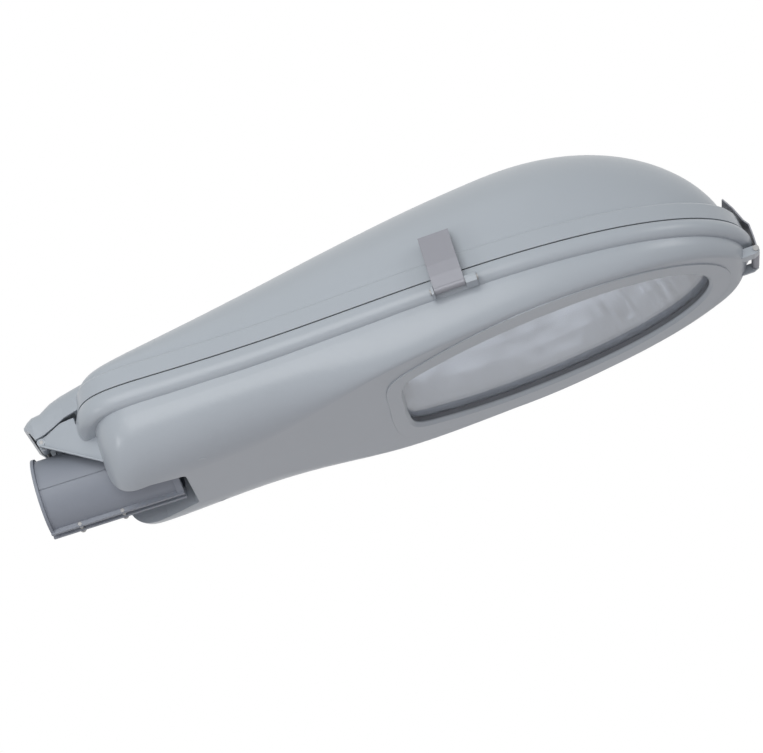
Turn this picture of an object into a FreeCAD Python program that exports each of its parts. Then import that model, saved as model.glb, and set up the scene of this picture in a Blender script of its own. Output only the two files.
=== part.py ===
import FreeCAD, Part
import math
import os
from types import SimpleNamespace

# Street light head with a hinged cover, three spring latches and a pole socket. Sizes in millimetres.
# Frame: origin at the centre of the pole socket's mouth, +X forward along the socket, +Z up, +Y left.

SIZES = {
    # Parting plane between the cover and the housing, and the plan of the flange around it
    "seam_rear_z": 44.2,
    "seam_front_z": 37.0,
    "seal_thickness": 1.2,
    "flange_rear": 58.0,
    "flange_tip": 727.0,
    "rear_corner_length": 82.0,
    "rear_half_width": 107.5,
    "side_half_width": 130.0,
    "waist_x": 200.0,
    "widest_x": 480.0,
    # Cover
    "flange_height": 19.0,
    "flange_draft": 2.5,
    "flange_wall": 5.0,
    "shell_wall": 3.0,
    "dome_setback": 13.0,
    "dome_ledge": 2.5,
    "crest_x": 530.0,
    "crest_height": 114.0,
    "crest_fall": 93.0,
    "crest_dip": 8.0,
    "dome_end_round": 25.0,
    # Hinge at the rear of the cover
    "hinge_x": 17.5,
    "hinge_z": 40.0,
    "hinge_pin_radius": 2.0,
    "hinge_clearance": 0.06,
    "knuckle_wall": 2.4,
    "knuckle_length": 10.0,
    "knuckle_y": 19.0,
    "cheek_thickness": 3.5,
    "cheek_edge": 5.0,
    "cheek_rear_y": 36.5,
    "cheek_front_y": 55.0,
    # Housing
    "bead_height_rear": 22.0,
    "bead_height_front": 16.0,
    "bead_bulge": 3.5,
    "body_rear": 70.0,
    "body_setback": 6.0,
    "body_inset": 3.0,
    "bottom_rear_x": 100.0,
    "bottom_rear_z": -39.5,
    "bottom_bend_x": 340.0,
    "bottom_bend_z": -24.8,
    "bottom_front_z": 5.0,
    "side_turn_rear": 60.0,
    "side_turn_front": 13.0,
    "side_turn_start": 190.0,
    "side_turn_end": 380.0,
    "rear_round": 25.0,
    "nose_round": 20.0,
    # Window in the underside
    "window_rear": 363.0,
    "window_setback": 21.5,
    "window_rear_half": 56.0,
    "window_half_width": 86.0,
    "window_widest_x": 500.0,
    "frame_rear": 346.0,
    "frame_setback": 27.0,
    "frame_rear_half": 69.5,
    "frame_half_width": 113.5,
    "frame_step": 1.2,
    "gasket_drop": 5.0,
    "gasket_width": 9.0,
    "glass_thickness": 5.0,
    "glass_overlap": 6.0,
    # Bay for the pole socket, open to the rear and below
    "bay_half_width": 48.0,
    "bay_taper_x": 108.0,
    "bay_front_half": 40.0,
    "bay_front": 142.0,
    "bay_corner": 5.0,
    "bay_roof_z": 39.5,
    # Pole socket
    "socket_bore": 60.0,
    "socket_wall": 7.0,
    "socket_length": 134.0,
    "socket_lip": 2.5,
    "socket_end_lip": 2.5,
    "slot_width": 7.0,
    "slot_lug": 3.5,
    "slot_lug_drop": 3.8,
    "clamp_bolt": 4.0,
    "clamp_bolt_rear": 29.0,
    "clamp_bolt_spacing": 43.0,
    "clamp_bolt_drop": 1.4,
    "socket_bolt": 8.0,
    "socket_bolt_spacing": 44.0,
    # Latches
    "latch_x": 434.0,
    "latch_width": 30.0,
    "latch_sheet": 1.4,
    "latch_pin_radius": 2.0,
    "latch_clearance": 0.08,
    "latch_eye_wall": 1.8,
    "latch_reach": 9.0,
    "latch_drop": 15.0,
    "nose_latch_reach": 1.5,
    "nose_latch_drop": 23.0,
    "latch_leg_width": 28.0,
    "ear_front": 11.0,
    "ear_rear": 2.5,
    # Optics and gear
    "lamp_z": 58.0,
    "lamp_radius": 21.0,
    "lamp_length": 215.0,
    "reflector_sheet": 1.2,
    "reflector_height": 92.0,
    "tray_rear": 152.0,
    "tray_front": 342.0,
    "tray_width": 126.0,
    "tray_z": -18.0,
    "tray_sheet": 2.0,
    "screw_radius": 2.5,
}

doc = FreeCAD.newDocument("street_light_head")
sheet = doc.addObject("Spreadsheet::Sheet", "Sizes")
for row, (alias, number) in enumerate(SIZES.items(), start=1):
    sheet.set("A%d" % row, alias)
    sheet.set("B%d" % row, str(number))
    sheet.setAlias("B%d" % row, alias)
doc.recompute()


v = SimpleNamespace(**{alias: float(getattr(sheet, alias)) for alias in SIZES})
rear_bend = v.flange_rear + v.rear_corner_length
dome_tip = v.flange_tip - v.dome_setback
body_tip = v.flange_tip - v.body_setback
frame_tip = v.flange_tip - v.frame_setback
window_tip = frame_tip - v.window_setback
CORNER_POWER = 4.0
TIP_POWER = 2.35
ACROSS = FreeCAD.Vector(0, 1, 0)
UP = FreeCAD.Vector(0, 0, 1)
ALONG = FreeCAD.Vector(1, 0, 0)
ORIGIN = FreeCAD.Vector(0, 0, 0)


def point(x, y, z):
    return FreeCAD.Vector(x, y, z)


def ease(share):
    """A smooth step from 0 to 1."""
    share = min(max(share, 0.0), 1.0)
    return share * share * (3 - 2 * share)


def seam(x):
    """Height of the parting plane, on the housing's side."""
    return v.seam_rear_z + (v.seam_front_z - v.seam_rear_z) * x / v.flange_tip


def crease(x):
    """Height of the ledge on top of the cover's flange."""
    return seam(x) + v.seal_thickness + v.flange_height


def underside(x):
    """Height of the flat underside, a little steeper under the window than behind it."""
    if x < v.bottom_bend_x:
        share = (x - v.bottom_rear_x) / (v.bottom_bend_x - v.bottom_rear_x)
        return v.bottom_rear_z + (v.bottom_bend_z - v.bottom_rear_z) * share
    share = (x - v.bottom_bend_x) / (frame_tip - v.bottom_bend_x)
    return v.bottom_bend_z + (v.bottom_front_z - v.bottom_bend_z) * share


def half_width(x, inset, rear, tip):
    """Half of the plan's width at x: a squarish rear end, a slim waist and a rounded nose."""
    side = v.rear_half_width + (v.side_half_width - v.rear_half_width) * ease(
        (x - v.waist_x) / (v.widest_x - v.waist_x)
    )
    back = min(max((rear_bend - x) / (rear_bend - rear), 0), 1)
    nose = min(max((x - v.widest_x) / (tip - v.widest_x), 0), 1)
    return (side - inset) * (1 - back**CORNER_POWER) ** (1 / CORNER_POWER) * (1 - nose**TIP_POWER) ** 0.5


def stations(rear, bend, widest, tip, corner_power, tip_power, rear_steps=7, side_steps=5, nose_steps=9):
    """Places along X from rear to tip, close together where the outline turns."""
    places = []
    for step in range(rear_steps):
        angle = math.pi / 2 * step / rear_steps
        places.append(bend - (bend - rear) * math.cos(angle) ** (2 / corner_power))
    for step in range(side_steps):
        places.append(bend + (widest - bend) * step / side_steps)
    for step in range(nose_steps + 1):
        angle = math.pi / 2 * step / nose_steps
        places.append(widest + (tip - widest) * math.sin(angle) ** (2 / tip_power))
    return places


def loop(places, half, height):
    """A closed outline through half(x) on both sides, lying on height(x)."""
    near = [point(x, -half(x), height(x)) for x in places]
    far = [point(x, half(x), height(x)) for x in reversed(places[1:-1])]
    curve = Part.BSplineCurve()
    curve.interpolate(near + far, PeriodicFlag=True)
    return Part.Wire(curve.toShape())


def flange_loop(inset, height):
    rear = v.flange_rear + inset
    tip = v.flange_tip - inset
    places = stations(rear, rear_bend, v.widest_x, tip, CORNER_POWER, TIP_POWER)
    return loop(places, lambda x: half_width(x, inset, rear, tip), height)


def solid_through(wires, ruled=False):
    return Part.makeLoft(wires, True, ruled)


def quarter(start, corner, end):
    """A quarter turn from start to end that leans into the corner."""
    lean = 0.5523
    curve = Part.BezierCurve()
    curve.setPoles([start, start + (corner - start) * lean, end + (corner - end) * lean, end])
    return curve.toShape()


def straight(start, end):
    return Part.LineSegment(start, end).toShape()


# Housing shell

BEAD_PROFILE = ((0.0, 0.0), (-0.22, -0.75), (-0.5, -1.0), (-0.78, -0.6))
SIDE_SHARE = 0.85


def bead_height(x):
    share = (x - v.flange_rear) / (v.flange_tip - v.flange_rear)
    return v.bead_height_rear + (v.bead_height_front - v.bead_height_rear) * share


def bead_band():
    """The half-round bead under the parting plane, filled inside."""
    wires = [
        flange_loop(v.bead_bulge * out, lambda x, drop=drop: seam(x) + drop * bead_height(x))
        for drop, out in BEAD_PROFILE
    ]
    wires.append(flange_loop(v.body_inset + 2, lambda x: seam(x) - bead_height(x)))
    return solid_through(wires)


def bowl_bottom(x, wall):
    """Lowest height of the bowl at x, rounded up at the rear and at the nose."""
    low = underside(x) + wall
    valley = seam(x) - bead_height(x)
    rear = v.body_rear + wall
    tip = body_tip - wall
    back = min(max((rear + v.rear_round - x) / v.rear_round, 0), 1)
    nose = min(max((x - tip + v.nose_round) / v.nose_round, 0), 1)
    low += v.rear_round * (1 - (1 - back**2) ** 0.5)
    return low + (valley - 2 - low) * (1 - (1 - nose**2) ** 0.5)


def bowl_section(x, wall, top):
    half = half_width(x, v.body_inset + wall, v.body_rear + wall, body_tip - wall)
    low = bowl_bottom(x, wall)
    valley = seam(x) - bead_height(x)
    fade = 1 - ease((x - v.side_turn_start) / (v.side_turn_end - v.side_turn_start))
    turn = min(v.side_turn_front + (v.side_turn_rear - v.side_turn_front) * fade, 0.6 * half)
    rise = low + SIDE_SHARE * (valley - low)
    near = [
        straight(point(x, -half, top), point(x, -half, rise)),
        quarter(point(x, -half, rise), point(x, -half, low), point(x, turn - half, low)),
    ]
    far = [
        quarter(point(x, half - turn, low), point(x, half, low), point(x, half, rise)),
        straight(point(x, half, rise), point(x, half, top)),
    ]
    floor = [straight(point(x, turn - half, low), point(x, half - turn, low))]
    lid = [straight(point(x, half, top), point(x, -half, top))]
    return Part.Wire(near + floor + far + lid)


def bowl(wall, rise):
    """The bowl under the bead as a filled body, wall inside the outer surface."""
    end_gap = 0.5
    rear = v.body_rear + wall
    tip = body_tip - wall
    places = stations(rear, rear_bend, v.widest_x, tip, CORNER_POWER, TIP_POWER, 6, 7, 8)
    places[0] += end_gap
    places[-1] -= end_gap
    return solid_through([bowl_section(x, wall, seam(x) + rise) for x in places])


# Window in the underside and the step of its frame

WINDOW_BEND = 30.0
WINDOW_CORNER_POWER = 5.0
WINDOW_TIP_POWER = 2.35
FRAME_TIP_POWER = 1.9


def lens_half(x, rear, tip, rear_half, half, tip_power):
    """Half width of an outline with a blunt rear end, bulging flanks and a rounded nose."""
    widest = v.window_widest_x
    if x < widest:
        half -= (half - rear_half) * min((widest - x) / (widest - rear), 1) ** 2
    else:
        half *= (1 - min((x - widest) / (tip - widest), 1) ** tip_power) ** 0.5
    back = min(max((rear + WINDOW_BEND - x) / WINDOW_BEND, 0), 1)
    return half * (1 - back**WINDOW_CORNER_POWER) ** (1 / WINDOW_CORNER_POWER)


def lens_loop(rear, tip, rear_half, half, tip_power, lift):
    """That outline as a closed wire, lift above the flat underside."""
    places = stations(rear, rear + WINDOW_BEND, v.window_widest_x, tip, WINDOW_CORNER_POWER, tip_power)
    return loop(
        places, lambda x: lens_half(x, rear, tip, rear_half, half, tip_power), lambda x: underside(x) + lift
    )


def window_sizes(grow):
    """Rear, tip, half width behind and half width of the window, grown all round."""
    return v.window_rear - grow, window_tip + grow, v.window_rear_half + grow, v.window_half_width + grow


def window_half(x, grow):
    return lens_half(x, *window_sizes(grow), WINDOW_TIP_POWER)


def window_loop(grow, lift):
    return lens_loop(*window_sizes(grow), WINDOW_TIP_POWER, lift)


def window_plate(low_grow, low, high_grow, high):
    return solid_through([window_loop(low_grow, low), window_loop(high_grow, high)], True)


def frame_loop(lift):
    """Outline of the raised window frame."""
    return lens_loop(
        v.frame_rear, frame_tip, v.frame_rear_half, v.frame_half_width, FRAME_TIP_POWER, lift
    )


# Socket bay

BELOW = -80.0


def bay_prism(grow, rear, top):
    """The bay's plan as an upright prism from below the part up to top."""
    side = v.bay_half_width + grow
    front_side = v.bay_front_half + grow
    front = v.bay_front + grow
    corner = v.bay_corner + grow
    bend = v.bay_taper_x

    def at(x, y):
        return point(x, y, BELOW)

    outline = [
        straight(at(bend, side), at(rear, side)),
        straight(at(rear, side), at(rear, -side)),
        straight(at(rear, -side), at(bend, -side)),
        straight(at(bend, -side), at(front - corner, -front_side)),
        quarter(at(front - corner, -front_side), at(front, -front_side), at(front, corner - front_side)),
        straight(at(front, corner - front_side), at(front, front_side - corner)),
        quarter(at(front, front_side - corner), at(front, front_side), at(front - corner, front_side)),
        straight(at(front - corner, front_side), at(bend, side)),
    ]
    return Part.Face(Part.Wire(outline)).extrude(point(0, 0, top - BELOW))


# Hinge cheeks

CHEEK_TOP_GAP = 0.6
CHEEK_RIM = 2.0
CHEEK_LENGTH = 60.5
CHEEK_FOOT_Z = -48.5
BOSS_WALL = 2.0
# The cheek's top edge as (forward of the pin, above the pin)
CHEEK_TOP = ((0.0, 3.2), (7.1, 4.6), (22.0, 10.0), (24.5, 10.6), (38.0, 10.2), (38.5, 3.0))


def cheek(side):
    """The triangular web beside the socket that carries one end of the hinge pin, on side -1 or 1."""
    turn = math.atan2(v.cheek_front_y - v.cheek_rear_y, CHEEK_LENGTH)
    boss_radius = v.hinge_pin_radius + BOSS_WALL
    far_top = seam(v.hinge_x + CHEEK_LENGTH) - CHEEK_TOP_GAP - v.hinge_z
    places = CHEEK_TOP + ((CHEEK_LENGTH, far_top), (CHEEK_LENGTH, CHEEK_FOOT_Z), (0.0, -boss_radius))
    corners = [point(x / math.cos(turn), 0, z) for x, z in places]
    web = Part.Face(Part.makePolygon(corners + corners[:1])).extrude(point(0, v.cheek_thickness, 0))
    slope = corners[-2] - corners[-1]
    normal = point(-slope.z, 0, slope.x).normalize() * CHEEK_RIM
    foot = [corners[-1], corners[-2], corners[-2] + normal, corners[-1] + normal]
    web = web.fuse(Part.Face(Part.makePolygon(foot + foot[:1])).extrude(point(0, v.cheek_edge, 0)))
    web.rotate(ORIGIN, UP, math.degrees(turn))
    web = web.fuse(Part.makeCylinder(boss_radius, v.cheek_edge, ORIGIN, ACROSS))
    web.translate(point(v.hinge_x, v.cheek_rear_y, v.hinge_z))
    return web if side > 0 else web.mirror(ORIGIN, ACROSS)


# Latch mounts. A latch is drawn in its own frame: X along the flange, Y outward from its edge
# and Z up from the seam.

EAR_GAP = 0.4
SIDE_EAR = ((-9, -8), (6, -8), (12, -11), (13.5, -14), (13.5, -19.5), (2, -20), (-9, -16))
NOSE_EAR = ((-20, -20), (-1, -19.5), (3.6, -19.8), (4.6, -22), (4.4, -26), (-1, -28.5), (-20, -29))


def latch_frame(name):
    if name == "front":
        base = point(v.flange_tip, 0, seam(v.flange_tip))
        return FreeCAD.Placement(base, FreeCAD.Rotation(UP, -90))
    step = 1.0
    out = half_width(v.latch_x, 0, v.flange_rear, v.flange_tip)
    ahead = half_width(v.latch_x + step, 0, v.flange_rear, v.flange_tip)
    turn = math.degrees(math.atan2(ahead - out, step))
    if name == "far":
        return FreeCAD.Placement(point(v.latch_x, out, seam(v.latch_x)), FreeCAD.Rotation(UP, turn))
    return FreeCAD.Placement(point(v.latch_x, -out, seam(v.latch_x)), FreeCAD.Rotation(UP, 180 - turn))


def latch_axis(name):
    """Height and reach of the latch pin in the latch's frame."""
    if name == "front":
        return v.nose_latch_reach, -v.nose_latch_drop
    return v.latch_reach, -v.latch_drop


def latch_ears(name):
    """Two ears that carry the latch pin. The wide one is towards the nose, or the near side at the nose."""
    outline = NOSE_EAR if name == "front" else SIDE_EAR
    gap = v.latch_width / 2 + EAR_GAP
    wide, slim = gap, -gap - v.ear_rear
    if name == "near":
        wide, slim = -gap - v.ear_front, gap
    ears = []
    for start, length in ((wide, v.ear_front), (slim, v.ear_rear)):
        corners = [point(start, y, z) for y, z in outline]
        ears.append(Part.Face(Part.makePolygon(corners + corners[:1])).extrude(point(length, 0, 0)))
    pair = ears[0].fuse(ears[1])
    pair.Placement = latch_frame(name)
    return pair


def latch_rod(name, radius, start, length):
    """A round rod on the latch's axis."""
    reach, height = latch_axis(name)
    rod = Part.makeCylinder(radius, length, point(start, reach, height), ALONG)
    rod.Placement = latch_frame(name)
    return rod


# Cover shell

DOME_REAR_GAP = 5.0
DOME_REAR_X = 60.0
DOME_FALL_POWER = 1.35
DOME_DIP_POWER = 11.5
DOME_NOSE_POWER = 2.2
DOME_NOSE_ROUND = 0.62
DOME_DEPTH = 8.0
TONGUE_INSIDE_Z = 30.0
TONGUE_SECTIONS = (
    # place along X, half width, bottom, top, corner
    (3.5, 33.0, 60.0, 63.5, 1.6),
    (8.0, 39.0, 56.0, 67.5, 8.0),
    (13.0, 42.5, 44.0, 71.0, 13.0),
    (22.0, 44.0, 45.6, 72.5, 15.0),
    (34.0, 46.5, 49.6, 79.0, 16.0),
    (46.0, 50.0, 54.0, 82.0, 17.0),
    (58.0, 56.0, 54.5, 82.5, 18.0),
    (72.0, 60.0, 56.0, 84.0, 18.0),
    (100.0, 58.0, 60.0, 86.5, 18.0),
)


def crest(x):
    """Height of the dome above the ledge, without the rounding of its rear end."""
    if x >= v.crest_x:
        share = (x - v.crest_x) / (dome_tip - v.crest_x)
        return v.crest_height * (1 - share**DOME_NOSE_POWER) ** DOME_NOSE_ROUND
    share = min((v.crest_x - x) / (v.crest_x - DOME_REAR_X), 1)
    return v.crest_height - v.crest_fall * share**DOME_FALL_POWER - v.crest_dip * share**DOME_DIP_POWER


def dome_section(x, wall):
    rear = v.flange_rear + DOME_REAR_GAP + wall
    half = half_width(x, v.flange_draft + v.dome_ledge + wall, rear, dome_tip - wall)
    back = min(max((rear + v.dome_end_round - x) / v.dome_end_round, 0), 1)
    base = crease(x)
    top = base + max(crest(x) * (1 - back**2) ** 0.5 - wall, 0.5)
    low = base - DOME_DEPTH
    return Part.Wire([
        straight(point(x, half, low), point(x, -half, low)),
        straight(point(x, -half, low), point(x, -half, base)),
        quarter(point(x, -half, base), point(x, -half, top), point(x, 0, top)),
        quarter(point(x, 0, top), point(x, half, top), point(x, half, base)),
        straight(point(x, half, base), point(x, half, low)),
    ])


def dome(wall):
    """The dome as a filled body, wall inside the outer surface."""
    tip = dome_tip - wall - 0.7
    rear = v.flange_rear + DOME_REAR_GAP + wall + 0.5
    places = stations(rear, rear_bend, v.crest_x, tip, CORNER_POWER, 2, 7, 7, 8)
    return solid_through([dome_section(x, wall) for x in places])


def flange(inset, low, high):
    """The near-vertical band of the cover, filled inside."""
    edge = 2.0
    if inset:
        return solid_through([flange_loop(inset, low), flange_loop(inset + v.flange_draft, high)], True)
    wires = [flange_loop(0, low), flange_loop(v.flange_draft, lambda x: high(x) - edge)]
    wires.append(flange_loop(v.flange_draft + 0.75 * edge, high))
    return solid_through(wires, True)


def tongue_section(x, half, low, top, corner):
    side = point(x, half, low)
    return Part.Wire([
        straight(side, point(x, -half, low)),
        straight(point(x, -half, low), point(x, -half, top - corner)),
        quarter(point(x, -half, top - corner), point(x, -half, top), point(x, corner - half, top)),
        straight(point(x, corner - half, top), point(x, half - corner, top)),
        quarter(point(x, half - corner, top), point(x, half, top), point(x, half, top - corner)),
        straight(point(x, half, top - corner), side),
    ])


def tongue():
    """The hinge tongue that runs from behind the hinge into the dome, filled."""
    return solid_through([tongue_section(*sizes) for sizes in TONGUE_SECTIONS], True)


def tongue_hollow():
    """The tongue's inside, open below behind the flange and open to the dome in front of it."""
    wall = v.shell_wall
    sections = [
        tongue_section(x + wall * (x < v.hinge_x), half - wall, TONGUE_INSIDE_Z, top - wall, corner)
        for x, half, low, top, corner in TONGUE_SECTIONS
    ]
    partition = Part.makeBox(v.flange_wall + 1, 200, 200, point(v.flange_rear - 1, -100, 0))
    return solid_through(sections, True).cut(partition)


def knuckles(solid):
    """Hinge knuckles that hang from the tongue's roof round the hinge pin."""
    outer = v.hinge_pin_radius + v.knuckle_wall
    reach = solid.BoundBox.ZMax - v.hinge_z
    below = Part.makeBox(40, 100, 6, point(0, -50, v.hinge_z))
    pieces = []
    for start in (v.knuckle_y, -v.knuckle_y - v.knuckle_length):
        centre = point(v.hinge_x, start, v.hinge_z)
        pieces.append(Part.makeCylinder(outer, v.knuckle_length, centre, ACROSS))
        corner = point(v.hinge_x - outer * 0.8, start, v.hinge_z)
        web = Part.makeBox(outer * 1.6, v.knuckle_length, reach, corner)
        pieces.append(web.common(solid.fuse(below)))
    return pieces


def hinge_rod(radius, half):
    return Part.makeCylinder(radius, 2 * half, point(v.hinge_x, -half, v.hinge_z), ACROSS)


def cover_low(x):
    return seam(x) + v.seal_thickness


def cover_shape():
    outer_tongue = tongue()
    body = dome(0).fuse([flange(0, cover_low, crease), outer_tongue])
    inside = flange(v.flange_wall, lambda x: seam(x) - 1, lambda x: crease(x) - v.shell_wall)
    body = body.cut([dome(v.shell_wall), inside, tongue_hollow()])
    body = body.fuse(knuckles(outer_tongue))
    return body.cut(hinge_rod(v.hinge_pin_radius + v.hinge_clearance, 60))


# Housing with its window frame, socket bay, cheeks, ears and bosses

FLOOR = v.shell_wall
GLASS_LOW = FLOOR + v.gasket_drop
GLASS_TOP = GLASS_LOW + v.glass_thickness
CLIP_LOW = GLASS_TOP + v.reflector_sheet
CLIP_REACH = 15.0
CLIP_X = (420.0, 520.0, 620.0)
FLOOR_TILT = math.atan2(v.bottom_front_z - v.bottom_bend_z, frame_tip - v.bottom_bend_x)
TRAY_PLACES = [(x, y) for x in (v.tray_rear + 10, v.tray_front - 30) for y in (-56.0, 56.0)]
CLIP_BOSS = 5.0
TRAY_BOSS = 6.0
GROMMET_Z = 12.0
GROMMET_RADIUS = 11.0
SOCKET_BOLT_X = (v.socket_length - 50, v.socket_length - 50 + v.socket_bolt_spacing)
SINK = 1.5


def post(x, y, radius, low, high):
    return Part.makeCylinder(radius, high - low, point(x, y, low))


def clip_place(x, side):
    """Placement square to the sloping floor beside the window, local Y towards the window."""
    step = 1.0
    slope = (window_half(x + step, 0) - window_half(x - step, 0)) / (2 * step)
    outward = point(-slope, side, 0).normalize()
    spot = point(x, side * window_half(x, 0), 0) + outward * CLIP_REACH
    facing = FreeCAD.Rotation(UP, math.degrees(math.atan2(-outward.y, -outward.x)) - 90)
    tilt = FreeCAD.Rotation(ACROSS, -math.degrees(FLOOR_TILT))
    return FreeCAD.Placement(point(spot.x, spot.y, underside(spot.x)), tilt.multiply(facing))


CLIP_PLACES = [clip_place(x, side) for x in CLIP_X for side in (-1, 1)]


def clip_post(place, radius, low, high):
    """A round post beside the window between two heights above the underside."""
    lean = math.cos(FLOOR_TILT)
    item = post(0, 0, radius, low * lean, high * lean)
    item.Placement = place
    return item


def housing_shape():
    outer = bead_band().fuse(bowl(0, -6))
    bay = bay_prism(v.shell_wall, v.body_rear + 1, v.bay_roof_z + v.shell_wall).common(outer)
    arms = [cheek(-1), cheek(1)] + [latch_ears(name) for name in ("near", "far", "front")]
    seat = window_plate(v.gasket_width + 0.5, FLOOR, v.gasket_width + 0.5, GLASS_TOP)
    body = outer.fuse(arms).cut([bowl(v.shell_wall, 3), seat])
    frame = solid_through([frame_loop(-v.frame_step), frame_loop(1)], True)
    posts = [clip_post(place, CLIP_BOSS, SINK, CLIP_LOW) for place in CLIP_PLACES]
    posts += [post(x, y, TRAY_BOSS, underside(x) + SINK, v.tray_z) for x, y in TRAY_PLACES]
    body = body.fuse([bay, frame] + posts)
    cuts = [
        bay_prism(0, v.flange_rear - 10, v.bay_roof_z),
        window_plate(0, -10, 0, 30),
        window_plate(FLOOR + 1, -v.frame_step - 1, 0, FLOOR - v.frame_step - 0.2),
        hinge_rod(v.hinge_pin_radius, 60),
        Part.makeCylinder(GROMMET_RADIUS, 20, point(v.bay_front - 8, 0, GROMMET_Z), ALONG),
    ]
    for name in ("near", "far", "front"):
        cuts.append(latch_rod(name, v.latch_pin_radius, -40, 80))
    for x in SOCKET_BOLT_X:
        cuts.append(post(x, 0, v.socket_bolt / 2, v.bay_roof_z - 1, v.bay_roof_z + v.shell_wall + 4))
    for place in CLIP_PLACES:
        cuts.append(clip_post(place, v.screw_radius, FLOOR + 1, CLIP_LOW + 1))
    for x, y in TRAY_PLACES:
        cuts.append(post(x, y, v.screw_radius, underside(x) + FLOOR, v.tray_z + 1))
    return body.cut(cuts)


# Latches of bent sheet

SIDE_STRAP = ((11.9, -15), (11.8, -2), (10.6, 10), (4.6, 38.5), (0.8, 39.4), (-0.2, 45))
SIDE_LEG = ((4.6, 38.0), (1.4, 33.0), (-1.2, 24.0), (-1.5, 18.9))
NOSE_STRAP = (
    (4.3, -22), (5.2, -5.6), (5.1, 8), (1.4, 13.8), (-0.9, 20.5), (-4.2, 29.5), (-7.8, 36.5), (-10.4, 41.5),
)


def ribbon(line, thickness, start, width):
    """Bent sheet whose mid-line runs through the (y, z) places of line, drawn from start along X."""
    left, right = [], []
    for index, (y, z) in enumerate(line):
        before = line[max(index - 1, 0)]
        after = line[min(index + 1, len(line) - 1)]
        here = (y, z)
        back = FreeCAD.Vector(here[0] - before[0], here[1] - before[1], 0)
        ahead = FreeCAD.Vector(after[0] - here[0], after[1] - here[1], 0)
        back = (back if back.Length else ahead).normalize()
        ahead = (ahead if ahead.Length else back).normalize()
        mitre = (back + ahead).normalize()
        reach = thickness / 2 / max(mitre.dot(back), 0.3)
        left.append(point(start, y - mitre.y * reach, z + mitre.x * reach))
        right.append(point(start, y + mitre.y * reach, z - mitre.x * reach))
    corners = left + right[::-1]
    return Part.Face(Part.makePolygon(corners + corners[:1])).extrude(point(width, 0, 0))


def latch_shape(name):
    strap = NOSE_STRAP if name == "front" else SIDE_STRAP
    bore = v.latch_pin_radius + v.latch_clearance
    reach, height = latch_axis(name)
    centre = point(-v.latch_width / 2, reach, height)
    eye = Part.makeCylinder(bore + v.latch_eye_wall, v.latch_width, centre, ALONG)
    body = ribbon(strap, v.latch_sheet, -v.latch_width / 2, v.latch_width).fuse(eye)
    if name != "front":
        body = body.fuse(ribbon(SIDE_LEG, v.latch_sheet, -v.latch_leg_width / 2, v.latch_leg_width))
    body = body.cut(Part.makeCylinder(bore, v.latch_width + 2, centre - point(1, 0, 0), ALONG))
    body.Placement = latch_frame(name)
    return body


# Pole socket, with the slot that lets it close on the pole's tube

SOCKET_PAD = 20.0
SOCKET_PAD_REAR = 62.0
RIM_LENGTH = 3.0
END_RIM_LENGTH = 6.5
THREAD_DEPTH = 7.5
LUG_ROOT = 5.0
GROOVE = 0.8
GROOVE_Z = -5.0
CLAMP_HEAD = 3.2
CLAMP_HEAD_HEIGHT = 3.0
CLAMP_HEAD_ROOM = 0.4
CLAMP_Y = v.slot_width / 2 + v.slot_lug
CLAMP_Z = -v.socket_bore / 2 - v.socket_wall - v.clamp_bolt_drop
CLAMP_X = (v.clamp_bolt_rear, v.clamp_bolt_rear + v.clamp_bolt_spacing)


def socket_shape():
    bore = v.socket_bore / 2
    outer = bore + v.socket_wall
    rest = v.socket_length - END_RIM_LENGTH
    body = Part.makeCylinder(outer, v.socket_length, ORIGIN, ALONG)
    mouth_rim = Part.makeCylinder(outer + v.socket_lip, RIM_LENGTH, ORIGIN, ALONG)
    end_rim = Part.makeCylinder(outer + v.socket_end_lip, END_RIM_LENGTH, point(rest, 0, 0), ALONG)
    pad_length = v.socket_length - SOCKET_PAD_REAR
    pad = Part.makeBox(pad_length, 2 * SOCKET_PAD, v.bay_roof_z, point(SOCKET_PAD_REAR, -SOCKET_PAD, 0))
    lug_height = v.slot_lug_drop + LUG_ROOT
    lug_corner = point(0, -CLAMP_Y, -outer - v.slot_lug_drop)
    lugs = Part.makeBox(v.socket_length, 2 * CLAMP_Y, lug_height, lug_corner)
    slot_corner = point(-10, -v.slot_width / 2, -outer - 20)
    body = body.fuse([mouth_rim, end_rim, pad, lugs])
    cuts = [
        Part.makeCylinder(bore, v.socket_length + 20, point(-10, 0, 0), ALONG),
        Part.makeBox(v.socket_length + 20, v.slot_width, outer + 20, slot_corner),
    ]
    for x in SOCKET_BOLT_X:
        cuts.append(post(x, 0, v.socket_bolt / 2, v.bay_roof_z - THREAD_DEPTH, v.bay_roof_z + 1))
    for x in CLAMP_X:
        start = point(x, -CLAMP_Y - 1, CLAMP_Z)
        cuts.append(Part.makeCylinder(v.clamp_bolt / 2, 2 * CLAMP_Y + 2, start, ACROSS))
        cuts.append(Part.makeCylinder(CLAMP_HEAD + CLAMP_HEAD_ROOM, 10, point(x, CLAMP_Y, CLAMP_Z), ACROSS))
    for side in (-outer, outer):
        corner = point(RIM_LENGTH, side - GROOVE, GROOVE_Z - GROOVE / 2)
        cuts.append(Part.makeBox(rest - RIM_LENGTH, 2 * GROOVE, GROOVE, corner))
    return body.cut(cuts)


def screws(places, shank, head, head_height, length, axis):
    """Socket-head screws, each at (x, y, z) of its seat, the head standing on the axis' side."""
    pieces = []
    for x, y, z in places:
        seat = point(x, y, z)
        turned = Part.makeCylinder(head, head_height, seat, axis)
        turned = turned.fuse(Part.makeCylinder(shank, length, seat - axis * length, axis))
        drive = Part.makeCylinder(head * 0.5, head_height * 0.6, seat + axis * head_height * 0.4, axis)
        pieces.append(turned.cut(drive))
    return Part.makeCompound(pieces)


def plate(length, width, height, rear, low, y=0.0):
    """A flat box from rear forward, centred on y."""
    return Part.makeBox(length, width, height, point(rear, y - width / 2, low))


# Optics

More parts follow.
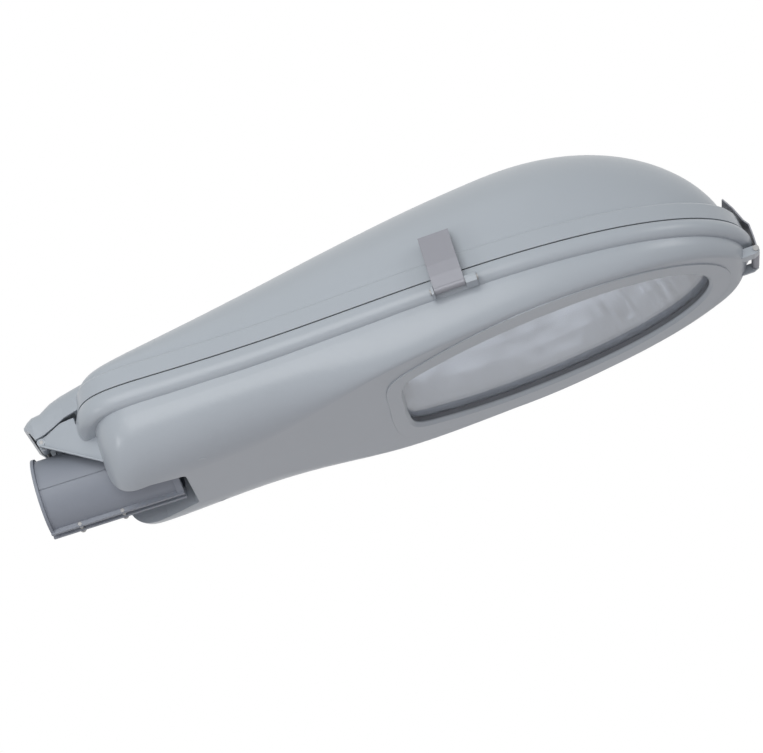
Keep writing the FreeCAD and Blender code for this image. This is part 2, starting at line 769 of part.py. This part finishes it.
SCREW_HEAD = 4.5
SCREW_HEAD_HEIGHT = 3.5
CLIP_SHEET = 2.0
CLIP_WIDTH = 12.0
CLIP_LENGTH = 18.0
CLIP_HEEL = 6.5
SEAL_OUTSIDE = 1.5
SEAL_INSIDE = 6.0
REFLECTOR_STEPS = 6
REFLECTOR_MOUTH = 1.5
REFLECTOR_CLOSE = 46.5
REFLECTOR_CLOSE_POWER = 2.2
REFLECTOR_RIM = 5.7
LAMP_REAR = 345.0
LAMP_CAP = 17.0
LAMP_CAP_LENGTH = 50.0
LAMP_HOLE = 26.0
HOLDER_RADIUS = 24.0
BRACKET_X = 326.0
BRACKET_HALF = 32.0


def reflector_shape():
    """A bowl over the window that closes in upward, with a flat rim and a hole for the lamp."""
    gap = v.reflector_sheet
    inner, outer = [], []
    for step in range(REFLECTOR_STEPS + 1):
        share = step / REFLECTOR_STEPS
        grow = REFLECTOR_MOUTH - REFLECTOR_CLOSE * share**REFLECTOR_CLOSE_POWER
        level = GLASS_TOP + v.reflector_height * share
        inner.append(window_loop(grow, level))
        outer.append(window_loop(grow + gap, level + gap * (share == 1)))
    rim = window_plate(REFLECTOR_RIM, GLASS_TOP, REFLECTOR_RIM, CLIP_LOW)
    under = window_plate(REFLECTOR_MOUTH, GLASS_TOP - 2, REFLECTOR_MOUTH, GLASS_TOP + 0.5)
    hole = Part.makeCylinder(LAMP_HOLE, 80, point(LAMP_REAR - 5, 0, v.lamp_z), ALONG)
    return solid_through(outer, True).fuse(rim).cut([solid_through(inner, True), under, hole])


def gasket_shape():
    outer = window_plate(v.gasket_width, FLOOR, v.gasket_width, GLASS_TOP)
    seat = window_plate(v.glass_overlap, GLASS_LOW, v.glass_overlap, GLASS_TOP + 1)
    opening = window_plate(0.5, 0, 0.5, GLASS_LOW + 1)
    return outer.cut([seat, opening])


def glass_clips_shape():
    """Clips from their bosses over the rims of the reflector and the glass."""
    pieces = []
    for place in CLIP_PLACES:
        clip = Part.makeBox(CLIP_WIDTH, CLIP_LENGTH, CLIP_SHEET, point(-CLIP_WIDTH / 2, -CLIP_HEEL, 0))
        clip = clip.cut(post(0, 0, v.screw_radius, -1, CLIP_SHEET + 1))
        clip.translate(UP * CLIP_LOW * math.cos(FLOOR_TILT))
        clip.Placement = place.multiply(clip.Placement)
        pieces.append(clip)
    return Part.makeCompound(pieces)


def glass_clip_screws_shape():
    pieces = []
    for place in CLIP_PLACES:
        seat = CLIP_LOW * math.cos(FLOOR_TILT) + CLIP_SHEET
        screw = screws([(0, 0, seat)], v.screw_radius, SCREW_HEAD, SCREW_HEAD_HEIGHT, 10, UP)
        screw.Placement = place
        pieces += screw.Solids
    return Part.makeCompound(pieces)


# Supply terminals and cable saddle

TERMINAL_REAR = 172.0
TERMINAL_LENGTH = 22.0
TERMINAL_WIDTH = 70.0
TERMINAL_HEIGHT = 22.0
TERMINAL_PITCH = 13.0
SADDLE_REAR = 155.0
SADDLE_LENGTH = 10.0
SADDLE_WIDTH = 44.0
SADDLE_HEIGHT = 9.0
SADDLE_SCREW_Y = 16.0
SADDLE_TOP = v.tray_z + v.tray_sheet + SADDLE_HEIGHT
SADDLE_SEATS = [(SADDLE_REAR + SADDLE_LENGTH / 2, y, SADDLE_TOP) for y in (-SADDLE_SCREW_Y, SADDLE_SCREW_Y)]
CABLE_RADIUS = 5.0


def terminal_shape():
    """Terminal block with a raised spine and a barrier on each side of every way."""
    low = v.tray_z + v.tray_sheet
    block = plate(TERMINAL_LENGTH, TERMINAL_WIDTH, TERMINAL_HEIGHT, TERMINAL_REAR, low)
    pockets = []
    floor = low + TERMINAL_HEIGHT - 8
    for way in range(-2, 3):
        for rear in (TERMINAL_REAR - 1, TERMINAL_REAR + TERMINAL_LENGTH - 6):
            pockets.append(plate(7, TERMINAL_PITCH - 2, 9, rear, floor, way * TERMINAL_PITCH))
    return block.cut(pockets)


def saddle_shape():
    low = v.tray_z + v.tray_sheet
    saddle = plate(SADDLE_LENGTH, SADDLE_WIDTH, SADDLE_HEIGHT, SADDLE_REAR, low)
    centre = point(SADDLE_REAR - 1, 0, low + CABLE_RADIUS - 1)
    cuts = [Part.makeCylinder(CABLE_RADIUS, SADDLE_LENGTH + 2, centre, ALONG)]
    for x, y, z in SADDLE_SEATS:
        cuts.append(post(x, y, v.screw_radius, low - 1, z + 1))
    return saddle.cut(cuts)


def seal_shape():
    """Flat seal between the housing's rim and the cover's flange."""
    rings = []
    for inset in (SEAL_OUTSIDE, SEAL_INSIDE):
        low = flange_loop(inset, seam)
        high = flange_loop(inset, lambda x: seam(x) + v.seal_thickness)
        rings.append(solid_through([low, high], True))
    return rings[0].cut(rings[1])


# Document objects. Simple pieces are primitives whose properties follow the sheet.


def bound(kind, name, values, place):
    item = doc.addObject(kind, name)
    item.Placement = place
    for prop, text in values.items():
        item.setExpression(prop, str(text))
    return item


def corner_values(x, y, z):
    return {".Placement.Base.x": x, ".Placement.Base.y": y, ".Placement.Base.z": z}


def box(name, sizes, corner):
    """A box with (length, width, height) and a corner given as expressions."""
    values = dict(zip(("Length", "Width", "Height"), sizes))
    values.update(corner_values(*corner))
    return bound("Part::Box", name, values, FreeCAD.Placement())


def rod(name, radius, length, start, axis):
    """A cylinder with radius, length and the centre of its first end given as expressions."""
    values = {"Radius": radius, "Height": length}
    values.update(corner_values(*start))
    return bound("Part::Cylinder", name, values, FreeCAD.Placement(ORIGIN, FreeCAD.Rotation(UP, axis)))


def fused(name, items):
    item = doc.addObject("Part::MultiFuse", name)
    item.Shapes = items
    return item


def cut(name, base, tools):
    item = doc.addObject("Part::Cut", name)
    item.Base = base
    item.Tool = tools[0] if len(tools) == 1 else fused(name + "_tools", tools)
    return item


def group(name, items):
    item = doc.addObject("Part::Compound", name)
    item.Links = items
    return item


def made(name, shape):
    item = doc.addObject("Part::Feature", name)
    item.Shape = shape
    item.Placement = shape.Placement
    return item


nodes = [
    made("upper_cover", cover_shape()),
    made("lower_housing", housing_shape()),
    made("socket_sleeve", socket_shape()),
    made("cover_seal", seal_shape()),
    made("window_glass", window_plate(v.glass_overlap, GLASS_LOW, v.glass_overlap, GLASS_TOP)),
    made("glass_gasket", gasket_shape()),
    made("reflector", reflector_shape()),
    made("glass_clips", glass_clips_shape()),
    made("glass_clip_screws", glass_clip_screws_shape()),
    made("terminal_block", terminal_shape()),
    made("cable_clamp", saddle_shape()),
]

# Hinge

pin_half = "(Sizes.cheek_rear_y + Sizes.cheek_edge)"
hinge_start = ("Sizes.hinge_x", "-" + pin_half, "Sizes.hinge_z")
nodes.append(rod("hinge_pin", "Sizes.hinge_pin_radius", "2 * " + pin_half, hinge_start, ACROSS))

# Latches and their pins

LATCH_PIN_HEAD = 1.4
for name in ("near", "far", "front"):
    nodes.append(made(name + "_latch", latch_shape(name)))
    start, end = v.latch_width / 2 + EAR_GAP + v.ear_rear, v.latch_width / 2 + EAR_GAP + v.ear_front
    if name != "near":
        start, end = -start, end
    else:
        start, end = -end, start
    pin = latch_rod(name, v.latch_pin_radius, start - LATCH_PIN_HEAD, end - start + 2 * LATCH_PIN_HEAD)
    heads = [
        latch_rod(name, v.latch_pin_radius + 1, start - LATCH_PIN_HEAD, LATCH_PIN_HEAD),
        latch_rod(name, v.latch_pin_radius + 1, end, LATCH_PIN_HEAD),
    ]
    nodes.append(made(name + "_latch_pin", pin.fuse(heads)))

# Screws that close the socket and screws that hold it

SOCKET_HEAD = 6.5
SOCKET_HEAD_HEIGHT = 6.0
seats = [(x, CLAMP_Y, CLAMP_Z) for x in CLAMP_X]
crossing = screws(seats, v.clamp_bolt / 2, CLAMP_HEAD, CLAMP_HEAD_HEIGHT, 2 * CLAMP_Y, ACROSS)
nodes.append(made("clamp_bolts", crossing))
seats = [(x, 0, v.bay_roof_z + v.shell_wall) for x in SOCKET_BOLT_X]
depth = v.shell_wall + THREAD_DEPTH - 0.5
upright_pair = screws(seats, v.socket_bolt / 2, SOCKET_HEAD, SOCKET_HEAD_HEIGHT, depth, UP)
nodes.append(made("socket_bolts", upright_pair))

# Lamp, its holder and bracket

tray_top = "(Sizes.tray_z + Sizes.tray_sheet)"
BRACKET_SEATS = [(BRACKET_X + 8, y, v.tray_z + 2 * v.tray_sheet) for y in (-22.0, 22.0)]
lamp_start = "%g" % LAMP_REAR
bulb_rear = LAMP_REAR + LAMP_CAP_LENGTH
cone_values = {"Radius1": LAMP_CAP - 2, "Radius2": "Sizes.lamp_radius", "Height": 15}
cone_values.update(corner_values(bulb_rear, 0, "Sizes.lamp_z"))
along = FreeCAD.Placement(ORIGIN, FreeCAD.Rotation(UP, ALONG))
neck = bound("Part::Cone", "lamp_neck", cone_values, along)
tube_start = (bulb_rear + 15, 0, "Sizes.lamp_z")
tube_length = "Sizes.lamp_length - %g" % (LAMP_CAP_LENGTH - 15)
tube = rod("lamp_tube", "Sizes.lamp_radius", tube_length, tube_start, ALONG)
dome_values = {"Radius": "Sizes.lamp_radius"}
dome_values.update(corner_values("%g + %s" % (bulb_rear + 15, tube_length), 0, "Sizes.lamp_z"))
dome_end = bound("Part::Sphere", "lamp_end", dome_values, FreeCAD.Placement())
nodes.append(fused("lamp_bulb", [neck, tube, dome_end]))
nodes.append(rod("lamp_cap", LAMP_CAP, LAMP_CAP_LENGTH, (lamp_start, 0, "Sizes.lamp_z"), ALONG))
holder_rear = "%g + Sizes.tray_sheet" % BRACKET_X
holder = rod("holder_body", HOLDER_RADIUS, 50, (holder_rear, 0, "Sizes.lamp_z"), ALONG)
holder_bore = rod("holder_bore", LAMP_CAP + 0.1, 40, (LAMP_REAR - 0.1, 0, "Sizes.lamp_z"), ALONG)
nodes.append(cut("lamp_holder", holder, [holder_bore]))
bracket_size = ("Sizes.tray_sheet", 2 * BRACKET_HALF, "Sizes.lamp_z + 30 - " + tray_top)
upright = box("bracket_upright", bracket_size, (BRACKET_X, -BRACKET_HALF, tray_top))
foot_size = (14, 2 * BRACKET_HALF, "Sizes.tray_sheet")
foot = box("bracket_foot", foot_size, (BRACKET_X, -BRACKET_HALF, tray_top))
bracket_holes = [
    rod("bracket_hole_%d" % index, "Sizes.screw_radius", 10, (x, y, tray_top + " - 1"), UP)
    for index, (x, y, z) in enumerate(BRACKET_SEATS)
]
nodes.append(cut("lamp_bracket", fused("bracket_blank", [upright, foot]), bracket_holes))
small_screw = (v.screw_radius, SCREW_HEAD, SCREW_HEAD_HEIGHT)
nodes.append(made("lamp_bracket_screws", screws(BRACKET_SEATS, *small_screw, 5, UP)))

# Gear tray and what stands on it


def on_tray(ahead):
    """A place along the tray, ahead of its rear edge."""
    return "Sizes.tray_rear + %g" % ahead


tray_size = ("Sizes.tray_front - Sizes.tray_rear", "Sizes.tray_width", "Sizes.tray_sheet")
tray = box("tray_blank", tray_size, ("Sizes.tray_rear", "-Sizes.tray_width / 2", "Sizes.tray_z"))
tray_holes = [
    rod("tray_hole_%d" % index, "Sizes.screw_radius", 6, (x, y, "Sizes.tray_z - 2"), UP)
    for index, (x, y) in enumerate(TRAY_PLACES + [seat[:2] for seat in BRACKET_SEATS + SADDLE_SEATS])
]
nodes.append(cut("gear_tray", tray, tray_holes))
TRAY_SEATS = [(x, y, v.tray_z + v.tray_sheet) for x, y in TRAY_PLACES]
nodes.append(made("tray_screws", screws(TRAY_SEATS, *small_screw, 6, UP)))
saddle_depth = SADDLE_HEIGHT + v.tray_sheet + 1
nodes.append(made("cable_clamp_screws", screws(SADDLE_SEATS, *small_screw, saddle_depth, UP)))
core = box("core_blank", (80, 56, 57), (on_tray(60), -62, tray_top))
window_of_core = box("core_window", (110, 38, 37), (on_tray(45), -53, tray_top + " + 10"))
nodes.append(cut("ballast_core", core, [window_of_core]))
nodes.append(box("ballast_winding", (100, 38, 37), (on_tray(50), -53, tray_top + " + 10")))
nodes.append(box("ignitor", (26, 32, 30), (on_tray(136), 14, tray_top)))
CAN_RADIUS = 17.0
can_z = tray_top + " + %g" % (CAN_RADIUS + 1.2)
nodes.append(rod("capacitor", CAN_RADIUS, 75, (on_tray(51), 34, can_z), ALONG))
band = rod("band_outside", CAN_RADIUS + 1.2, 14, (on_tray(81), 34, can_z), ALONG)
band_foot = box("band_foot", (14, 56, 1.2), (on_tray(81), 6, tray_top))
band_bore = rod("band_bore", CAN_RADIUS, 16, (on_tray(80), 34, can_z), ALONG)
nodes.append(cut("capacitor_clip", fused("band_blank", [band, band_foot]), [band_bore]))

# Bush in the wall between the socket bay and the gear

wall_x = "Sizes.bay_front"
bush = [
    rod("bush_neck", GROMMET_RADIUS, "Sizes.shell_wall", (wall_x, 0, GROMMET_Z), ALONG),
    rod("bush_rear", GROMMET_RADIUS + 3, 1.5, (wall_x + " - 1.5", 0, GROMMET_Z), ALONG),
    rod("bush_front", GROMMET_RADIUS + 3, 1.5, (wall_x + " + Sizes.shell_wall", 0, GROMMET_Z), ALONG),
]
bush_hole = rod("bush_hole", CABLE_RADIUS + 0.5, 20, (wall_x + " - 8", 0, GROMMET_Z), ALONG)
nodes.append(cut("cable_grommet", fused("bush_blank", bush), [bush_hole]))

doc.recompute()
os.makedirs("parts", exist_ok=True)
for item in doc.Objects:
    if "Invalid" in item.State or "Error" in item.State:
        raise RuntimeError("%s did not compute" % item.Name)
for node in nodes:
    if node.Shape.isNull() or not node.Shape.isValid() or not node.Shape.Solids:
        raise RuntimeError("%s has no valid solid" % node.Name)
for node in nodes:
    node.Label = node.Name
    node.Shape.exportStep("parts/%s.step" % node.Name)
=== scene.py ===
import math
import bpy
from mathutils import Matrix, Vector

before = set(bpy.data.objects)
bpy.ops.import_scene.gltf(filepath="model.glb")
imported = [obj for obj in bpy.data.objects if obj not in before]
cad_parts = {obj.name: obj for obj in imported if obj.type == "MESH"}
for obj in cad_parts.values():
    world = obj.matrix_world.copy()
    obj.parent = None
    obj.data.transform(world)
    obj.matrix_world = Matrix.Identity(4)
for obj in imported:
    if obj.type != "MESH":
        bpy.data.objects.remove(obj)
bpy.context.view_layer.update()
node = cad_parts
MM = 0.001

# The camera stands low on the near side and looks up at the window, turned a little on its own axis,
# as the head was photographed on its pole. Angles are in degrees and lengths in millimetres.

SWING, RISE, ROLL = (math.radians(angle) for angle in (-0.096, -22.211, 17.651))
DISTANCE = 2729.178
FOCAL_PIXELS = 2812.677
FRAME_WIDTH = 763
SENSOR = 36.0
AIM = Vector((348.137, 0, 15.354))

back = Vector((math.sin(SWING) * math.cos(RISE), -math.cos(SWING) * math.cos(RISE), math.sin(RISE)))
level = Vector((math.cos(SWING), math.sin(SWING), 0))
upright = back.cross(level)
right = level * math.cos(ROLL) - upright * math.sin(ROLL)
above = level * math.sin(ROLL) + upright * math.cos(ROLL)
camera_data = bpy.data.cameras.new("camera")
camera_data.sensor_width = SENSOR
camera_data.lens = SENSOR * FOCAL_PIXELS / FRAME_WIDTH
camera_data.clip_start, camera_data.clip_end = 0.05, 60
camera = bpy.data.objects.new("camera", camera_data)
bpy.context.scene.collection.objects.link(camera)
turn = Matrix((right, above, back)).transposed().to_4x4()
camera.matrix_world = Matrix.Translation((AIM + back * DISTANCE) * MM) @ turn
bpy.context.scene.camera = camera
bpy.context.scene.view_settings.view_transform = "Standard"

# The studio: an even pale surround, a wide soft lamp over the head and one on its near side. The small lamps stand
# for windows and show as soft spots in the paint and the glass. The floor lies well below the head. It and the
# surround look white or nearly so, and nothing of the floor is seen from below.


class Sock:
    """A socket of a material's node tree that can be used in arithmetic."""

    def __init__(self, tree, socket):
        self.tree, self.socket = tree, socket

    def node(self, kind, settings=None, **sockets):
        """A new node: settings first, then the values or links of its sockets. Gives its first output."""
        return add_node(self.tree, kind, settings, sockets)

    def math(self, operation, other, flip=False, clamp=False):
        made = self.tree.nodes.new("ShaderNodeMath")
        made.operation, made.use_clamp = operation, clamp
        terms = [other, self] if flip else [self, other]
        for place, term in enumerate(terms):
            plug(self.tree, made.inputs[place], term)
        return Sock(self.tree, made.outputs[0])

    def __add__(self, other):
        return self.math("ADD", other)

    def __sub__(self, other):
        return self.math("SUBTRACT", other)

    def __rsub__(self, other):
        return self.math("SUBTRACT", other, flip=True)

    def __mul__(self, other):
        return self.math("MULTIPLY", other)

    __radd__, __rmul__ = __add__, __mul__

    def clamp(self):
        return self.math("ADD", 0.0, clamp=True)

    def between(self, low, high):
        """0 at low, 1 at high, smooth between them."""
        smooth = {"interpolation_type": "SMOOTHSTEP"}
        return self.node("MapRange", smooth, Value=self, From_Min=low, From_Max=high)

    def about(self, middle, span):
        """A number that runs over span, from half below middle at 0 to half above it at 1."""
        return self * span + (middle - span / 2)

    def shade(self, low, high):
        """A colour that runs from low at 0 to high at 1."""
        made = self.tree.nodes.new("ShaderNodeMix")
        made.data_type = "RGBA"
        plug(self.tree, made.inputs["Factor"], self)
        for place, colour in ((6, low), (7, high)):
            plug(self.tree, made.inputs[place], colour)
        return Sock(self.tree, made.outputs[2])

    def tone(self, colour, darker, paler):
        """A colour that runs from darker times itself at 0 to paler times itself at 1."""
        return self.shade(tuple(part * darker for part in colour), tuple(part * paler for part in colour))


def plug(tree, target, value):
    """Links or sets one socket."""
    if isinstance(value, Sock):
        tree.links.new(value.socket, target)
    elif isinstance(value, tuple) and len(value) == 3 and target.type == "RGBA":
        target.default_value = (*value, 1)
    else:
        target.default_value = value


def add_node(tree, kind, settings=None, sockets=None, output=0):
    """A new node in tree, given as one of its outputs."""
    made = tree.nodes.new("ShaderNode" + kind)
    for key, value in (settings or {}).items():
        setattr(made, key, value)
    for key, value in (sockets or {}).items():
        plug(tree, made.inputs[key.replace("_", " ")], value)
    return Sock(tree, made.outputs[output])


def mixed(tree, share, first, second):
    """Two shaders mixed, share of them the second."""
    mix = tree.nodes.new("ShaderNodeMixShader")
    for place, value in enumerate((share, first, second)):
        plug(tree, mix.inputs[place], value)
    return Sock(tree, mix.outputs[0])


def seen_as(tree, plain, shown):
    """A mix that looks shown to the camera, in reflections and through glass, and plain to other rays."""
    path = tree.nodes.new("ShaderNodeLightPath")
    rays = Sock(tree, path.outputs["Is Camera Ray"]) + Sock(tree, path.outputs["Is Glossy Ray"])
    rays = (rays + Sock(tree, path.outputs["Is Transmission Ray"])).clamp()
    return mixed(tree, rays, plain, shown)


def output_only(owner, kind):
    """The owner's node tree, emptied but for an output of that kind, and the output's first socket."""
    owner.use_nodes = True
    owner.node_tree.nodes.clear()
    return owner.node_tree, owner.node_tree.nodes.new("ShaderNodeOutput" + kind).inputs[0]


WHITE = (1, 1, 1)
SURROUND_COLOUR = (0.98, 0.99, 1.0)
SURROUND_STRENGTH = 0.38
world = bpy.data.worlds.new("surround")
bpy.context.scene.world = world
tree, outlet = output_only(world, "World")
dim = add_node(tree, "Background", sockets={"Color": SURROUND_COLOUR, "Strength": SURROUND_STRENGTH})
white = add_node(tree, "Background", sockets={"Color": WHITE, "Strength": 1.0})
plug(tree, outlet, seen_as(tree, dim, white))


def soft_lamp(name, place, aim, size, watts):
    """A square area lamp at place, turned towards aim. Lengths are in millimetres."""
    data = bpy.data.lights.new(name, "AREA")
    data.size, data.energy = size * MM, watts
    lamp = bpy.data.objects.new(name, data)
    bpy.context.scene.collection.objects.link(lamp)
    lamp.location = Vector(place) * MM
    lamp.rotation_euler = (Vector(aim) - Vector(place)).to_track_quat("-Z", "Y").to_euler()


soft_lamp("overhead_lamp", (100, -900, 1800), (350, 0, 60), 1500, 3)
soft_lamp("near_lamp", (-100, -2200, 150), (300, 0, 20), 1600, 24)
soft_lamp("side_window", (2150, -1150, 430), (600, -100, 20), 560, 5)
soft_lamp("far_window", (893, 2260, -1007), (590, -60, 0), 110, 0.07)
soft_lamp("rear_window", (-1300, -1150, -500), (80, -80, 0), 300, 4)

FLOOR_WIDTH = 30000
FLOOR_PLACE = Vector((350, 0, -1500))
FLOOR_COLOUR = (0.87, 0.83, 0.85)
FLOOR_SHADOW = 0.12
BACKFACING = 6
bpy.ops.mesh.primitive_plane_add(size=FLOOR_WIDTH * MM, location=FLOOR_PLACE * MM)
floor = bpy.context.object
floor.name = "studio_floor"
floor_paint = bpy.data.materials.new("floor_paint")
tree, outlet = output_only(floor_paint, "Material")
matt = add_node(tree, "BsdfDiffuse", sockets={"Color": FLOOR_COLOUR})
pale = add_node(tree, "Emission", sockets={"Color": WHITE, "Strength": 1.0})
from_above = seen_as(tree, matt, mixed(tree, FLOOR_SHADOW, pale, matt))
from_below = add_node(tree, "BsdfTransparent")
plug(tree, outlet, mixed(tree, add_node(tree, "NewGeometry", output=BACKFACING), from_above, from_below))
floor.data.materials.append(floor_paint)

# Cover and housing: the two large castings, die cast in aluminium and painted alike in a satin, light blue-grey
# coat with a very fine orange peel. The cover swings on the pin at the rear, the housing carries the rest.


def principled(name):
    """A new material, its node tree, its Principled shader and the place on its surface in metres."""
    made = bpy.data.materials.new(name)
    made.use_nodes = True
    tree = made.node_tree
    return made, tree, tree.nodes["Principled BSDF"], add_node(tree, "TexCoord", output=3)


def noise(place, scale, detail):
    """Noise over the surface with about scale bumps in a metre."""
    return place.node("TexNoise", {"noise_dimensions": "3D"}, Vector=place, Scale=scale, Detail=detail)


def rounded(tree, radius, height, depth, strength):
    """Normals with every edge softened by radius and a height of depth on top, both in millimetres."""
    edge = add_node(tree, "Bevel", {"samples": 6}, {"Radius": radius * MM})
    return edge.node("Bump", None, Strength=strength, Distance=depth * MM, Height=height, Normal=edge)


def cast_paint(name, colour, roughness, edge):
    """Paint over a casting, faintly clouded, with edges softened by edge in millimetres."""
    made, tree, shader, place = principled(name)
    peel = noise(place, 420.0, 2.0) + noise(place, 1500.0, 1.0) * 0.35
    plug(tree, shader.inputs["Base Color"], noise(place, 9.0, 2.0).tone(colour, 0.965, 1.035))
    plug(tree, shader.inputs["Roughness"], noise(place, 60.0, 3.0).about(roughness, 0.06))
    plug(tree, shader.inputs["Normal"], rounded(tree, edge, peel, 0.05, 0.35))
    plug(tree, shader.inputs["Specular IOR Level"], 0.45)
    return made


def dress(name, material):
    """Gives a CAD node its finish."""
    slots = node[name].data.materials
    slots.clear()
    slots.append(material)
    for face in node[name].data.polygons:
        face.material_index = 0


body_paint = cast_paint("body_paint", (0.40, 0.44, 0.48), 0.31, 0.6)
dress("upper_cover", body_paint)
dress("lower_housing", body_paint)

# Pole socket: a cast sleeve, split along its underside, in a darker and duller grey. Screws hold it in the
# housing's bay, and two cross screws through the lugs of its slot close it on the tube.

dress("socket_sleeve", cast_paint("socket_paint", (0.25, 0.275, 0.32), 0.5, 0.8))

# Fasteners, pins and the pressed steel inside: zinc-plated, with a fine grain and a dull shine. The bracket, the
# tray and the clips are screwed to the housing's bosses.


def metal(name, colour, roughness, stretch=(1, 1, 1), metallic=1.0):
    """Bare or plated metal. Stretch squeezes its grain along each axis."""
    made, tree, shader, place = principled(name)
    grain = place.node("VectorMath", {"operation": "MULTIPLY"}, Vector=place)
    grain.socket.node.inputs[1].default_value = stretch
    fine = noise(grain, 900.0, 2.0)
    plug(tree, shader.inputs["Base Color"], fine.tone(colour, 0.92, 1.06))
    plug(tree, shader.inputs["Roughness"], fine.about(roughness, 0.12))
    plug(tree, shader.inputs["Normal"], rounded(tree, 0.3, fine, 0.02, 0.5))
    plug(tree, shader.inputs["Metallic"], metallic)
    return made


zinc_plate = metal("zinc_plate", (0.36, 0.36, 0.36), 0.55, metallic=0.8)
for name in (
    "clamp_bolts", "socket_bolts", "hinge_pin", "near_latch_pin", "far_latch_pin", "front_latch_pin",
    "glass_clips", "glass_clip_screws", "lamp_bracket", "lamp_bracket_screws", "gear_tray", "tray_screws",
    "capacitor_clip", "cable_clamp_screws",
):
    dress(name, zinc_plate)

# Latches: bent from spring sheet and left bare, with fine lines from the rolling. Each turns on its pin between
# the housing's ears and hooks over the cover's flange.

spring_sheet = metal("spring_sheet", (0.27, 0.275, 0.305), 0.55, (1, 1, 12), 0.6)
for name in ("near_latch", "far_latch", "front_latch"):
    dress(name, spring_sheet)

# Seal, gasket and bush: moulded rubber. The seal lies in the parting line, the gasket holds the glass in its
# frame, and the bush lines the cable's hole between the socket bay and the gear.


def moulded(name, colour, roughness):
    """Rubber, plastic, porcelain or varnish."""
    made, tree, shader, place = principled(name)
    fine = noise(place, 600.0, 2.0)
    plug(tree, shader.inputs["Base Color"], fine.tone(colour, 0.93, 1.05))
    plug(tree, shader.inputs["Roughness"], fine.about(roughness, 0.08))
    plug(tree, shader.inputs["Normal"], rounded(tree, 0.4, fine, 0.04, 0.4))
    return made


seal_rubber = moulded("seal_rubber", (0.05, 0.05, 0.055), 0.7)
dress("cover_seal", seal_rubber)
dress("cable_grommet", seal_rubber)
dress("glass_gasket", moulded("gasket_rubber", (0.17, 0.18, 0.20), 0.6))

# Window and lamp: flat toughened glass with a film of dust, clipped down on its gasket, and the clear glass tube
# of a discharge lamp with a nickel-plated brass cap, screwed into a porcelain holder.


def clear_glass(name, tint, roughness, clear):
    """Glass. What it lacks to be fully clear is a film of dust."""
    made, tree, shader, _ = principled(name)
    plug(tree, shader.inputs["Base Color"], tint)
    plug(tree, shader.inputs["Roughness"], roughness)
    plug(tree, shader.inputs["Transmission Weight"], clear)
    plug(tree, shader.inputs["IOR"], 1.45)
    return made


dress("window_glass", clear_glass("window_glass", (0.88, 0.92, 0.97), 0.02, 0.90))
dress("lamp_bulb", clear_glass("bulb_glass", (0.97, 0.97, 0.95), 0.05, 1.0))
dress("lamp_cap", metal("cap_brass", (0.72, 0.68, 0.60), 0.3))
dress("lamp_holder", moulded("holder_ceramic", (0.88, 0.87, 0.83), 0.2))

# Reflector: pressed from aluminium sheet and brightened, with its rim under the clips of the glass. The folds of the
# press fan out over its nose, shallow dents lie along its sides, and the lowest part is dull. Lengths in metres.

FAN_CENTRE = 0.50
FOLDS_START, FOLDS_FULL = 0.54, 0.64
FOLD_HEIGHT = 3.0
GLASS_SLOPE, GLASS_DROP = 0.0828, 0.053
DULL_END, BRIGHT_START = 0.012, 0.035
DARK_PATCH, PALE_PATCH = (0.60, 0.62, 0.67), (0.72, 0.74, 0.79)
reflector_metal, tree, shader, place = principled("reflector_metal")
forward, across, upward = (add_node(tree, "SeparateXYZ", None, {"Vector": place}, axis) for axis in range(3))
turned = across.math("ARCTAN2", forward - FAN_CENTRE)
folds = turned.node("TexNoise", {"noise_dimensions": "1D"}, W=turned, Scale=5.0, Detail=1.5)
dents = noise(place, 14.0, 2.0)
height = dents + folds * forward.between(FOLDS_START, FOLDS_FULL) * FOLD_HEIGHT
above_glass = upward - forward * GLASS_SLOPE + GLASS_DROP
plug(tree, shader.inputs["Base Color"], noise(place, 22.0, 3.0).shade(DARK_PATCH, PALE_PATCH))
plug(tree, shader.inputs["Roughness"], dents.about(0.38, 0.1))
plug(tree, shader.inputs["Normal"], rounded(tree, 6.0, height, 14.0, 0.8))
plug(tree, shader.inputs["Metallic"], above_glass.between(DULL_END, BRIGHT_START))
dress("reflector", reflector_metal)

# Control gear: a choke of varnished laminations with a wrapped winding, an ignitor, a drawn aluminium capacitor
# can, the terminal block and the cable's saddle. All of it is screwed to the tray.

dress("ballast_core", moulded("core_varnish", (0.03, 0.03, 0.035), 0.35))
dress("ballast_winding", moulded("winding_wrap", (0.35, 0.10, 0.05), 0.6))
dress("ignitor", moulded("ignitor_case", (0.75, 0.75, 0.73), 0.5))
dress("capacitor", metal("can_metal", (0.75, 0.76, 0.77), 0.3))
dress("terminal_block", moulded("terminal_plastic", (0.80, 0.79, 0.74), 0.5))
dress("cable_clamp", moulded("saddle_plastic", (0.04, 0.04, 0.04), 0.5))
